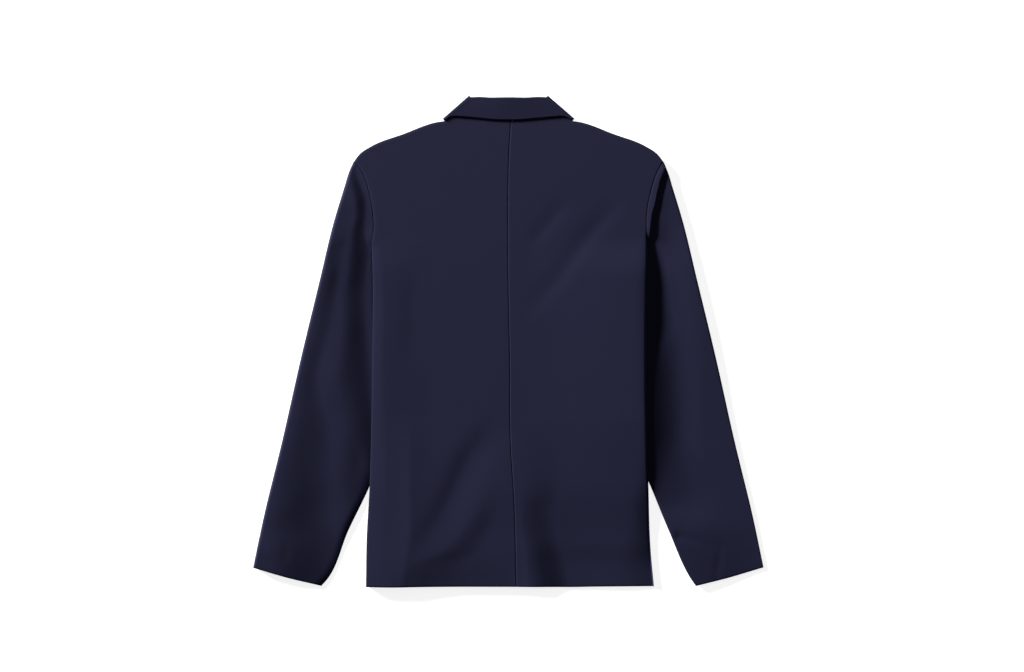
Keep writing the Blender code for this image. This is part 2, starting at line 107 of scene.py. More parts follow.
SLEEVE_INNER = {
    LEFT: [(281, -366.2), (273.6, -358), (240, -282), (211, -222), (185, -160), (166, -90), (158, -20),
           (160, 40)],
    RIGHT: [(281, -366.2), (274, -356), (240, -282), (212, -214), (185, -155), (166, -90), (158, -20),
            (160, 40)],
}
SLEEVE_TUCK = {
    LEFT: [(205, 141), (177, 109), (164, 73), (160, 40)],
    RIGHT: [(209, 138), (179, 107), (164, 73), (160, 40)],
}
FRONT_EDGE = [(-12, -367.3), (-12, -120), (-12, 60), (-12, 88), (-6, 112), (6.4, 134.5), (23, 207),
              (41.2, 285), (55.9, 354)]
LAPEL_ROLL = [(6, 136), (22, 207), (39.8, 283.4)]
LAPEL_EDGE = [(11, 134), (48, 174), (82, 213), (112, 250)]
GORGE_START = (40, 285)
COLLAR_POINT = (95, 290)
NOTCH_DROP = 18.8  # how far the collar's front end reaches down, to the gorge
GORGE_SHARE = 0.6  # share of the collar's width where it reaches down most
LAPEL_COLUMNS = 48
UNDERARM_BLEND = 30.0

# Where layers lie under the body, as in the solids
LIFT_FROM = [(-310, 275), (-250, 228), (-222, 206), (-160, 180), (-90, 160), (-20, 152), (50, 154),
             (108, 170), (140, 200), (180, 212), (240, 245)]
LIFT_RAMP = 60.0
LIFT_LOSS = 0.75  # of the lift, beside the armhole
LIFT_LOSS_FROM = 145
LIFT_LOSS_RAMP = 50
LAPEL_ZONE = [(95, -40), (128, 12), (172, 54), (212, 88), (250, 118), (290, 106), (340, 101)]
LAPEL_FOOT = 127.0
LAPEL_FOOT_RAMP = 7.0
LAPEL_RAMP = 16.0
OVERLAP_OUT = 14.0
OVERLAP_RAMP = 22.0
OVERLAP_TOP = 158
OVERLAP_TOP_RAMP = 25

# Collar
ROLL_Y = 367.0
ROLL_SAG = 0.6
ROLL_RISE = [(30, 0.3), (44, 1.4)]  # (x, y above the middle of the roll)
ROLL_CORNER = (58.9, ROLL_Y + 1.8)
FALL_TIP = (98.2, 334.4)
FALL_EDGE = [(0, 332.2), (14, 332.3), (47, 335.2), (70, 337.2), (84, 337.8), (90, 336.2)]
FALL_ROLL_RADIUS = 1.9
SIDE_ROLL_RADIUS = 1.4
FOLD_BULGE = 3.0  # how far the fold at each neck side stands out from where it begins to turn
FOLD_SHARE = 0.08  # of its height above its outermost line
ROLL_ANGLES = np.linspace(180, 12, 9)
FALL_SHARES = np.linspace(0, 1, 15)
BACK_COLUMNS = 45
TURN_COLUMNS = 14
LEAF_COLUMNS = 25
STAND_TOP_SIDE = 7.9
STAND_END = (76, 345.9)
STAND_TOP = (53, 362.6)
STAND_GAP = 0.8
STAND_GRID = (61, 12)
COLLAR_GAP = 0.2  # between the collar and the back under it
LEAF_Z = 1.0  # middle of the cloth of the lapels and of the collar's front ends

# Buttons
BUTTON_RIM = [(6.6, 0.75), (7.6, 0.5), (8.4, 0.12), (9.2, 0), (9.8, 0.35), (10, 1.0), (9.6, 1.7), (8.8, 2.0),
              (6.6, 2.0)]  # (radius, z), its face down
BUTTON_STEPS = 48
HOLE_PLACE = 1.7
HOLE_RADIUS = 0.95
HOLE_SIDES = 16
THREAD_RADIUS = 0.55
THREAD_SIDES = 10
THREAD_STEPS = 12
THREAD_FLATNESS = 0.42
THREAD_DEPTH = 0.28  # of a stitch's ends inside the button
SHARP = math.radians(40)  # an edge that turns more stays sharp
TOUCHING = 0.001
BUTTONHOLE_LENGTH = 22.0
BUTTONHOLE_RADIUS = 1.7
BUTTONHOLE_EDGE = 1.1
BUTTONHOLE_HEIGHT = 0.25
BUTTONHOLE_SIDES = 24
BUTTON_PLACES = [("upper", 85.0), ("lower", -20.0)]
BUTTON_FLAT = 24.0
BUTTON_SPREAD = 52.0

# The soft slope of the back towards each side seam: y, reach and drop
SIDE_SLOPE = {
    LEFT: [(-367, 30, 0.6), (-282, 26, 0.9), (-207, 26, 1.2), (-132, 22, 1.2), (-57, 18, 1.2),
           (93, 16, 1.0), (150, 12, 0.6), (200, 14, 0)],
    RIGHT: [(-367, 60, 2.7), (-342, 60, 2.9), (-312, 46, 2.8), (-282, 36, 2.5), (-245, 32, 2.0),
            (-207, 20, 0.9), (-57, 14, 0.5), (93, 17, 1.0), (150, 14, 0.8), (215, 12, 0)],
}
SIDE_CURVE = {LEFT: 1.5, RIGHT: 2.2}  # power of that slope, which makes it steeper at the seam
# The last tight turn of the cloth at a seam: its reach, and the back's share of the height between
# back and front, which the front's turn makes up
SIDE_TURN = {LEFT: 3.0, RIGHT: 4.0}
BACK_SHARE = {LEFT: 0.05, RIGHT: 0.5}
SHOULDER_TURN = 3.5
SHOULDER_SHARE = 0.12
NECK_POINT_TURN = 0.3  # what is left of the shoulder's turn at the neck point
NECK_POINT_REACH = 14
HEM_TURN = 0.9  # drop of the turned cloth's edge at a hem or cuff
HEM_REACH = 2.2
# The turn at the long edges of a sleeve: share of the upper cloth, and its reach
SLEEVE_TURNS = {
    LEFT: {"outer": (0.32, 3.5), "inner": (0.6, 12)},
    RIGHT: {"outer": (0.2, 2.5), "inner": (0.08, 3)},
}
UNDER_TURN = 4.5  # reach of the under sleeve's turn

# Folds: a trough (or a ridge, where its depths are negative) along a line in x, y, with its half
# width to the left and right of the way the line runs and its depths from end to end. A creased one
# has a sharp bottom or crest.
BACK_FOLDS = [
    {"line": [(176, 222), (128, 168), (72, 93), (17, 33)], "widths": (13, 16),
     "depths": [0, 0.75, 0.75, 0.6, 0]},
    {"line": [(95, 220), (52, 168), (22, 132)], "widths": (11, 14), "depths": [0, 0.55, 0.5, 0]},
    {"line": [(-20, -110), (-32, -140), (-54, -170), (-80, -222), (-95, -254), (-114, -284), (-132, -312),
              (-140, -330)],
     "widths": (28, 18), "depths": [0, 0.8, 1.4, 1.6, 1.5, 1.1, 0.7, 0.2]},
    {"line": [(-148, -110), (-148, -207), (-147, -282), (-150, -310), (-158, -350), (-160, -366)],
     "widths": (60, 30), "depths": [0, -1.2, -2.0, -2.0, -1.4, -1.0], "creased": True},
    {"line": [(15, -215), (21, -282), (27, -342), (28, -366)], "widths": (30, 9),
     "depths": [0, -0.35, -0.5, -0.5], "creased": True},
    {"line": [(-143, 120), (-144, -40)], "widths": (16, 15), "depths": [0, 0.4, 0.4, 0]},
    {"line": [(-176, -374), (-120, -376), (-60, -377), (-4, -377)], "widths": (34, 34),
     "depths": [0.4, 2.4, 2.8, 2.2]},
]
# Where the back steps down towards the right: y, x of the middle of the step, its width and its
# drop, or its rise where that is negative
BACK_STEPS = [
    [(-215, -30, 30, 0), (-232, -30, 32, 0.3), (-250, -34, 36, 0.9), (-282, -50, 44, 1.8),
     (-312, -73, 60, 2.1), (-331, -103, 80, 2.3), (-350, -116, 90, 2.4), (-367, -120, 96, 2.4)],
    [(-120, 44, 60, 0), (-150, 46, 60, 0.6), (-184, 50, 58, 1.3), (-228, 48, 54, 2.1), (-252, 42, 50, 2.6),
     (-277, 44, 50, 3.3), (-304, 51, 50, 4.2), (-330, 57, 56, 5.7), (-366, 63, 60, 6.8)],
    [(-200, 150, 150, 0), (-277, 150, 150, -1.0), (-366, 150, 150, -1.8)],
]
FRONT_FOLDS = [
    {"line": [(-62, -345), (-74, -240), (-100, -140)], "widths": (13, 18), "depths": [1.2, 1.3, 0.7, 0]},
    {"line": [(-176, 150), (-120, 84), (-58, 44)], "widths": (12, 15), "depths": [0, 0.9, 0.7, 0]},
    {"line": [(112, -350), (98, -262), (70, -190)], "widths": (16, 12), "depths": [0.3, 0.9, 0.6, 0]},
    {"line": [(168, 118), (110, 58), (54, 22)], "widths": (16, 12), "depths": [0, 0.8, 0.9, 0]},
    {"line": [(150, -60), (128, -150), (136, -230)], "widths": (17, 14), "depths": [0, 0.8, 0.5, 0]},
]
UNDER_SLEEVE_FOLDS = {
    LEFT: [
        {"line": [(-300, -10), (-262, -32), (-226, -70)], "widths": (9, 12), "depths": [0.8, 1.1, 0.3]},
        {"line": [(-345, -250), (-318, -190), (-300, -110)], "widths": (14, 11), "depths": [0, 0.9, 0.6, 0]},
    ],
    RIGHT: [
        {"line": [(318, -60), (276, -70), (236, -112)], "widths": (12, 9), "depths": [0.6, 1.0, 0.4]},
        {"line": [(330, -300), (312, -215), (282, -150)], "widths": (12, 14), "depths": [0, 0.8, 0.8, 0]},
    ],
}
SLEEVE_FOLDS = {
    LEFT: [
        {"line": [(-262, 20), (-262, -57), (-268, -110)], "widths": (14, 16), "depths": [0, -0.5, 0]},
        {"line": [(-334, -296), (-333, -334)], "widths": (6, 6), "depths": [0, 0.22, 0]},
        {"line": [(-232, -140), (-226, -180), (-238, -222)], "widths": (10, 14), "depths": [0, 0.5, 0]},
    ],
    RIGHT: [
        {"line": [(256, -292), (275, -297), (318, -309)], "widths": (7, 7), "depths": [0.8, 0.3, 0.2]},
        {"line": [(318, -306), (316, -330), (310, -356)], "widths": (6, 6), "depths": [0.1, 0.3, 0.15]},
    ],
}

# How a sleeve's upper side lies, from its outer edge to the body: height of the outer part, where
# and how widely it steps down to the shelf, height of the shelf, out of the ends of the flank that
# falls to the body, the flank's lean and its foot's height
SLEEVE_FORM = {
    LEFT: [
        # y, rim, step at, step width, shelf, flank from, flank to, lean, foot
        (-367, 9.8, 308, 104, 2.8, 262, 240, 1.0, 2.8),
        (-334, 11.4, 303, 108, 2.8, 262, 240, 1.0, 2.8),
        (-312, 12.3, 306, 110, 3.3, 262, 236, 1.0, 3.2),
        (-282, 12.0, 312, 100, 4.8, 256, 226, 1.0, 4.2),
        (-245, 12.4, 310, 86, 5.8, 246, 222, 0.9, 4.6),
        (-207, 12.6, 308, 84, 7.0, 260, 206, 0.6, 2.8),
        (-132, 12.0, 298, 62, 7.6, 250, 204, 0.6, 2.8),
        (-57, 10.4, 300, 30, 8.6, 256, 206, 0.8, 3.2),
        (18, 10.2, 280, 28, 8.8, 251, 211, 0.9, 4.3),
        (78, 11.0, 268, 26, 9.3, 248, 212, 1.0, 6.1),
        (108, 12.2, 262, 24, 10.6, 242, 211, 1.0, 7.3),
        (138, 13.2, 262, 30, 11.8, 240, 208, 1.0, 8.2),
        (153, 13.4, 252, 32, 12.2, 238, 212, 1.0, 9.0),
        (168, 13.4, 250, 34, 12.2, 236, 214, 1.0, 9.3),
        (190, 13.0, 250, 40, 11.8, 231, 212, 1.0, 9.5),
        (213, 12.8, 255, 30, 12.2, 232, 212, 1.0, 9.2),
        (236, 12.0, 262, 20, 11.6, 238, 220, 1.0, 8.9),
        (255, 10.0, 262, 20, 10.0, 240, 229, 1.0, 8.7),
    ],
    RIGHT: [
        (-367, 2.8, 328, 104, 6.4, 262, 243, 1.0, 6.5),
        (-320, 3.0, 320, 120, 7.4, 262, 243, 1.0, 7.6),
        (-282, 3.2, 306, 140, 7.6, 264, 236, 1.0, 7.8),
        (-245, 3.5, 300, 80, 3.5, 288, 225, 0.6, 6.2),
        (-207, 3.5, 285, 60, 3.0, 282, 211, 0.78, 5.9),
        (-169, 4.1, 277, 42, 3.4, 262.5, 215, 0.61, 7.6),
        (-132, 4.1, 273, 38, 3.0, 259.5, 217, 0.6, 8.6),
        (-94, 4.5, 273, 40, 3.2, 259.5, 217, 0.58, 8.6),
        (-57, 5.3, 273, 44, 3.7, 253, 217, 0.6, 8.2),
        (-20, 6.1, 270, 48, 4.4, 252, 221, 0.7, 6.0),
        (18, 6.8, 266, 52, 4.9, 260, 230, 1.0, 3.8),
        (57, 7.1, 261, 52, 5.2, 252, 226, 1.0, 3.4),
        (93, 7.3, 257, 52, 5.4, 246, 222, 1.0, 3.3),
        (120, 7.3, 256, 48, 5.7, 244, 218, 1.0, 3.6),
        (138, 6.9, 257, 46, 5.6, 238, 212, 1.0, 4.0),
        (153, 6.8, 258, 44, 5.5, 232, 213, 1.0, 4.4),
        (168, 6.8, 258, 40, 5.9, 232, 215, 1.0, 4.6),
        (183, 6.8, 262, 40, 6.3, 232, 217, 1.0, 4.7),
        (213, 6.6, 270, 30, 6.6, 236, 222, 1.0, 4.7),
        (243, 6.8, 270, 30, 6.8, 242, 231, 1.0, 4.6),
        (265, 7.0, 270, 30, 7.0, 242, 236, 1.0, 4.6),
    ],
}
# Cloth of the sleeve head that lies level with the body beside the armhole seam: y, out of its edge
# and how far it takes to fall from there
HEAD_STRIP = {
    LEFT: [(141, 206, 6), (162, 211, 4), (187, 210, 4), (210, 208, 4), (236, 216, 5), (262, 229, 3)],
    RIGHT: [(141, 208.6, 2), (155, 210.5, 2), (176, 213, 2), (193, 215.2, 2.5), (210, 220, 2.5),
            (228, 223.9, 2.5), (244, 228.6, 2.5), (256, 233.4, 2), (264, 236, 1)],
}
STRIP_TILT = 0.035  # its rise towards the right, for each millimetre
SLEEVE_ROOM = 0.3  # least room inside a sleeve
SLEEVE_MEETS = 16  # how far from the armhole a sleeve's under side leaves the level of the front
SLEEVE_SEAM = 0.2  # gap between a sleeve and its armhole
SLEEVE_LEAN = 14  # degrees that a sleeve's warp leans outwards
TUCK_START = 130.0  # above this y the inner edge has none of its turn
TUCK_BLEND = 60.0
TUCK_FROM = 4.8  # how far inside the body's edge a sleeve's dip ends
TUCK_REACH = {LEFT: 4.5, RIGHT: 6.5}
SEAM_GROOVE = 0.55
GROOVE_TIGHT = 1.4
GROOVE_SOFT = 5.0
GROOVE_FRONT = 2.0
CENTRE_GROOVE = 0.8
CENTRE_GROOVE_REACH = 1.7
CREASE = 1.5  # how tightly a creased fold turns
# A seam allowance: how far below its edge it lies, how much it falls across, and its width in out and y
ALLOWANCE_DROP = 1.25
ALLOWANCE_FALL = 0.15
BACK_ALLOWANCE = (1.6, 0)
SLEEVE_ALLOWANCE = (-1.6, 1.2)


def smooth(share):
    share = np.clip(share, 0, 1)
    return share * share * (3 - 2 * share)


def on_curve(knots, values, at):
    """The height at these places of a smooth curve through the values at its knots."""
    slopes = np.gradient(values, knots)
    at = np.clip(at, knots[0], knots[-1])
    leg = np.clip(np.searchsorted(knots, at, side="right") - 1, 0, len(knots) - 2)
    length = knots[leg + 1] - knots[leg]
    t = (at - knots[leg]) / length
    start = (1 + 2 * t) * (1 - t) ** 2 * values[leg] + t * (1 - t) ** 2 * length * slopes[leg]
    end = t * t * (3 - 2 * t) * values[leg + 1] + t * t * (t - 1) * length * slopes[leg + 1]
    return start + end


def along(points, shares):
    """Points on a smooth curve through the given ones, at these shares of its length."""
    points = np.array(points, float)
    knots = np.concatenate([[0], np.cumsum(np.linalg.norm(np.diff(points, axis=0), axis=1))])
    at = np.asarray(shares, float) * knots[-1]
    return np.stack([on_curve(knots, values, at) for values in points.T], axis=-1)


def by_height(table, y, column):
    """A column of a table at these heights y, on a smooth curve through its rows."""
    rows = np.array(sorted(table), float)
    return on_curve(rows[:, 0], rows[:, column], y)


def run(shares, *legs):
    """One edge of a pattern piece, from legs given as (share where it ends, its points)."""
    places = np.zeros((len(shares), 2))
    begun = 0.0
    for ended, points in legs:
        inside = (shares >= begun) & (shares <= ended)
        places[inside] = along(points, (shares[inside] - begun) / (ended - begun))
        begun = ended
    return places


def patch(across, up, bottom, top, inner, outer):
    """A grid of places filling the four edges: rows go up, columns go from inner to outer."""
    u = across[None, :, None]
    v = up[:, None, None]
    ruled = (1 - v) * bottom[None] + v * top[None] + (1 - u) * inner[:, None] + u * outer[:, None]
    low = (1 - u) * bottom[0] + u * bottom[-1]
    high = (1 - u) * top[0] + u * top[-1]
    return ruled - (1 - v) * low - v * high


def nearest(places, line, samples=81):
    """Each place's distance to a curve, signed positive on its left, and its share along the curve."""
    line = along(line, np.linspace(0, 1, samples))
    best = np.full(places.shape[:-1], np.inf)
    signed = np.zeros(places.shape[:-1])
    share = np.zeros(places.shape[:-1])
    for number, (a, b) in enumerate(zip(line[:-1], line[1:])):
        t = np.clip(((places - a) @ (b - a)) / ((b - a) @ (b - a)), 0, 1)
        away = places - a - t[..., None] * (b - a)
        distance = np.linalg.norm(away, axis=-1)
        side = np.sign((b - a)[0] * away[..., 1] - (b - a)[1] * away[..., 0])
        closer = distance < best
        best = np.where(closer, distance, best)
        signed = np.where(closer, side * distance, signed)
        share = np.where(closer, (number + t) / (samples - 1), share)
    return signed, share


def rounding(distance, radius):
    """How much of its drop an edge still has at this distance in from it: 1 on the edge itself."""
    left = 1 - np.clip(np.abs(distance) / radius, 0, 1)
    return 1 - np.sqrt(1 - left**2)


def folded(places, folds):
    """Depth of all these folds at each place."""
    depth = np.zeros(places.shape[:-1])
    for fold in folds:
        signed, share = nearest(places, fold["line"], 41)
        width = np.where(signed > 0, fold["widths"][0], fold["widths"][1])
        depths = np.interp(share, np.linspace(0, 1, len(fold["depths"])), fold["depths"])
        if fold.get("creased"):
            depth += depths * np.exp(-np.hypot(signed, CREASE) / width)
        else:
            depth += depths * np.exp(-((signed / width) ** 2))
    return depth


def stepped(places, steps):
    """Drop of all these steps at each place."""
    drop = np.zeros(places.shape[:-1])
    for rows in steps:
        middle, width, fall = (by_height(rows, places[..., 1], column) for column in (1, 2, 3))
        drop += fall * smooth((places[..., 0] - middle) / width + 0.5)
    return drop


def sections(length, at_start, at_end, step=STEP):
    """Shares along a length, with its first and last ones at these distances from its ends."""
    begin = at_start[-1] + step
    finish = length - at_end[-1] - step
    middle = np.linspace(begin, finish, max(2, round((finish - begin) / step) + 1))
    return np.array([*at_start, *middle, *[length - d for d in reversed(at_end)]]) / length


def column_at(across, share):
    """The first section at or past a share of the width, where two edges can meet."""
    return across[np.searchsorted(across, share)]


# Levels of the body


def body_lift(out, y):
    lifted = smooth((out - by_height(LIFT_FROM, y, 1) + LIFT_RAMP) / LIFT_RAMP)
    return lifted * (1 - LIFT_LOSS * smooth((y - LIFT_LOSS_FROM) / LIFT_LOSS_RAMP))


def over_buttons(out, y):
    rise = np.zeros(out.shape)
    for _, button_y in BUTTON_PLACES:
        distance = np.hypot(out, y - button_y)
        rise = np.maximum(rise, smooth((BUTTON_SPREAD - distance) / (BUTTON_SPREAD - BUTTON_FLAT)))
    return rise


def front_level(out, y, side):
    """Underside of a front before its edges turn up."""
    over_lapel = LAPEL_LIFT * smooth((by_height(LAPEL_ZONE, y, 1) - out) / LAPEL_RAMP + 1)
    level = over_lapel * smooth((y - LAPEL_FOOT) / LAPEL_FOOT_RAMP)
    if side == RIGHT:
        lying_on = smooth((OVERLAP_OUT + OVERLAP_RAMP - out) / OVERLAP_RAMP)
        lying_on = lying_on * smooth((OVERLAP_TOP - y) / OVERLAP_TOP_RAMP)
        level = np.maximum(level, OVERLAP_LIFT * lying_on)
    level = level + folded(np.stack([side * out, y], axis=-1), FRONT_FOLDS)
    return level + BUTTON_LIFT * over_buttons(out, y) + BODY_LIFT * body_lift(out, y)


def side_slope(places, side):
    reach = by_height(SIDE_SLOPE[side], places[..., 1], 1)
    drop = by_height(SIDE_SLOPE[side], places[..., 1], 2)
    to_side, _ = nearest(places, SIDE_EDGE[side])
    return drop * np.clip(1 - np.abs(to_side) / reach, 0, 1) ** SIDE_CURVE[side]


def back_level(places, side):
    """Upper side of the back before its edges turn down, its seam dips or it folds."""
    out, y = places[..., 0], places[..., 1]
    height, out_from, across, y_from, along_side = SIDE_RISE[side]
    rise = height * smooth((out - out_from) / across) * smooth((y - y_from) / along_side)
    rise = rise * smooth((SIDE_RISE_TOP - y) / SIDE_RISE_FADE)
    return by_height(BACK_HEIGHT, y, 1) + rise - side_slope(places, side)


def seam_groove(to_seam, opened, tight):
    """The groove of an armhole seam: tight on its left flank and soft on its right one."""
    return -SEAM_GROOVE * rounding(to_seam, GROOVE_TIGHT if tight else GROOVE_SOFT) * opened


def body_edges(places, side, top, bottom, side_share, shoulder_share):
    """The drop of the back, or rise of the front, at the side seam and the shoulder."""
    whole = np.maximum(top - bottom - SEAM, 0)
    to_side, _ = nearest(places, SIDE_EDGE[side])
    to_armhole, _ = nearest(places, ARMHOLE[side])
    to_shoulder, _ = nearest(places, SHOULDER)
    at_side = whole * side_share * rounding(to_side, SIDE_TURN[side])
    closed = 1 - armhole_open(places, side)
    at_underarm = whole * side_share * closed * rounding(to_armhole, SIDE_TURN[side])
    from_neck = np.linalg.norm(places - NECK_POINT, axis=-1)
    kept = NECK_POINT_TURN + (1 - NECK_POINT_TURN) * smooth(from_neck / NECK_POINT_REACH)
    at_shoulder = whole * shoulder_share * rounding(to_shoulder, SHOULDER_TURN) * kept
    return np.maximum(np.maximum(at_side, at_underarm), at_shoulder)


def armhole_open(places, side):
    """0 below the armhole, 1 where the sleeve is sewn in."""
    return smooth((places[..., 1] - ARMHOLE[side][0][1]) / UNDERARM_BLEND)


# Making cloth


def shown(name, form, look):
    mesh = bpy.data.meshes.new(name)
    for face in form.faces:
        face.smooth = True
    form.to_mesh(mesh)
    form.free()
    piece = bpy.data.objects.new(name, mesh)
    bpy.context.scene.collection.objects.link(piece)
    mesh.materials.append(look)
    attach(piece, "root")
    return piece


def cloth(name, points, faces_up, look, grain, thickness=SUITING, offset=-1.0):
    """A wall of cloth on a grid of points, with the flat place of each point on its cut as UV map.

    The points lie on its outer side, or in its middle where the offset is 0.
    """
    rows, columns = points.shape[:2]
    form = bmesh.new()
    bmesh.ops.create_grid(form, x_segments=columns - 1, y_segments=rows - 1, size=0.5)
    cut = form.loops.layers.uv.new("cut")
    flat = {}
    for vert in form.verts:
        column = round((vert.co.x + 0.5) * (columns - 1))
        row = round((vert.co.y + 0.5) * (rows - 1))
        flat[vert] = grain[row, column] * MM
        vert.co = points[row, column] * MM
    for face in form.faces:
        for loop in face.loops:
            loop[cut].uv = flat[loop.vert]
    form.normal_update()
    if (sum(face.normal.z * face.calc_area() for face in form.faces) > 0) != faces_up:
        bmesh.ops.reverse_faces(form, faces=form.faces)
    piece = shown(name, form, look)
    wall = piece.modifiers.new("wall", "SOLIDIFY")
    wall.thickness = thickness * MM
    wall.offset = offset
    return piece


def with_height(places, side, z):
    return np.stack([side * places[..., 0], places[..., 1], z], axis=-1)


def turned_grain(places, degrees):
    """Flat places turned so that the cloth's warp runs along the piece."""
    c, s = math.cos(math.radians(degrees)), math.sin(math.radians(degrees))
    return places @ np.array([[c, -s], [s, c]])


def turned_under(points, grain, width, axis, at_end):
    """A panel's points and flat places with a seam allowance added along one edge."""
    width = np.array(width, float)
    ways = [(0, 0, -ALLOWANCE_DROP), (*width, -ALLOWANCE_DROP - ALLOWANCE_FALL)]
    longer = []
    for grid, steps in ((points, ways), (grain, (width / 2, width))):
        edge = grid.take([-1 if at_end else 0], axis=axis)
        added = [edge + np.array(step) for step in steps]
        parts = [grid, *added] if at_end else [*added[::-1], grid]
        longer.append(np.concatenate(parts, axis=axis))
    return longer


def back_panel(side, look):
    width, length, neck_share = BACK_GRID
    across = sections(width, CENTRE_SECTIONS, EDGE_SECTIONS)
    up = sections(length, HEM_SECTIONS, EDGE_SECTIONS)
    neck_end = column_at(across, neck_share)
    underarm = column_at(up, UNDERARM_SHARE)
    centre = np.array(CENTRE_BACK) * (side, 1) + (SEAM / 2, 0)
    places = patch(
        across,
        up,
        bottom=run(across, (1, [centre[0], *HEM[side][1:]])),
        top=run(across, (neck_end, [centre[-1], *BACK_NECK[1:]]), (1, SHOULDER)),
        inner=run(up, (1, centre)),
        outer=run(up, (underarm, SIDE_EDGE[side]), (1, ARMHOLE[side])),
    )
    seen = places * (side, 1)
    to_seam, _ = nearest(seen, CENTRE_BACK)
    to_armhole, _ = nearest(places, ARMHOLE[side])
    under = front_level(places[..., 0], places[..., 1], side)
    z = back_level(places, side) - folded(seen, BACK_FOLDS) - stepped(seen, BACK_STEPS)
    z = z - CENTRE_GROOVE * rounding(to_seam, CENTRE_GROOVE_REACH)
    to_hem, _ = nearest(places, HEM[side])
    z = z - HEM_TURN * rounding(to_hem, HEM_REACH)
    z = z + seam_groove(to_armhole, armhole_open(places, side), side == RIGHT)
    z = np.maximum(z, under + SUITING * 2 + LAYER_GAP)
    z = z - body_edges(places, side, z, under, BACK_SHARE[side], SHOULDER_SHARE)
    points = with_height(places, side, z)
    if side == LEFT:
        points, seen = turned_under(points, seen, BACK_ALLOWANCE, 1, at_end=False)
    name = SIDE_NAMES[side]
    piece = cloth(f"{name}_back", points, True, look, seen)
    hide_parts(f"back_{name}")


def front_panel(side, look):
    width, length, neck_share = FRONT_GRID
    across = sections(width, FRONT_SECTIONS, EDGE_SECTIONS, FRONT_STEP)
    up = sections(length, FRONT_SECTIONS, EDGE_SECTIONS, FRONT_STEP)
    neck_end = column_at(across, neck_share)
    underarm = column_at(up, UNDERARM_SHARE)
    places = patch(
        across,
        up,
        bottom=run(across, (1, [FRONT_EDGE[0], *HEM[side][1:]])),
        top=run(across, (neck_end, [FRONT_EDGE[-1], NECK_POINT]), (1, SHOULDER)),
        inner=run(up, (1, FRONT_EDGE)),
        outer=run(up, (underarm, SIDE_EDGE[side]), (1, ARMHOLE[side])),
    )
    to_armhole, _ = nearest(places, ARMHOLE[side])
    level = front_level(places[..., 0], places[..., 1], side)
    back = np.maximum(back_level(places, side), level + 2 * SUITING + LAYER_GAP)
    z = level + body_edges(places, side, back, level, 1 - BACK_SHARE[side], 1 - SHOULDER_SHARE)
    z = z + SEAM_GROOVE * rounding(to_armhole, GROOVE_FRONT) * armhole_open(places, side)
    name = SIDE_NAMES[side]
    piece = cloth(f"{name}_front", with_height(places, side, z), False, look, places * (side, 1))
    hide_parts(f"front_{name}")


def sleeve_top(places, side):
    """Upper side of a sleeve before its edges turn down."""
    out, y = places[..., 0], places[..., 1]
    rim, step_at, step_width, shelf, start, end, lean, foot = (
        by_height(SLEEVE_FORM[side], y, column) for column in range(1, 9)
    )
    crown = shelf + (rim - shelf) * smooth((out - step_at) / step_width + 0.5)
    flank = foot + (crown - foot) * smooth(np.clip((out - end) / (start - end), 0, 1) ** lean)
    strip_out = by_height(HEAD_STRIP[side], y, 1)
    strip_fall = by_height(HEAD_STRIP[side], y, 2)
    to_armhole, _ = nearest(places, ARMHOLE[side])
    seam = back_level(places, side) + side * STRIP_TILT * np.abs(to_armhole)
    beside_seam = smooth((strip_out + strip_fall - out) / strip_fall) * armhole_open(places, side)
    top = flank + (np.maximum(seam, flank) - flank) * beside_seam
    body_edge = np.array(SIDE_EDGE[side] + ARMHOLE[side][1:])
    body_out = np.interp(y, body_edge[:, 1], body_edge[:, 0])
    clear = np.maximum(smooth((out - body_out + TUCK_FROM) / TUCK_REACH[side]), armhole_open(places, side))
    return np.minimum(top, TUCKED_TOP + (top - TUCKED_TOP) * clear)


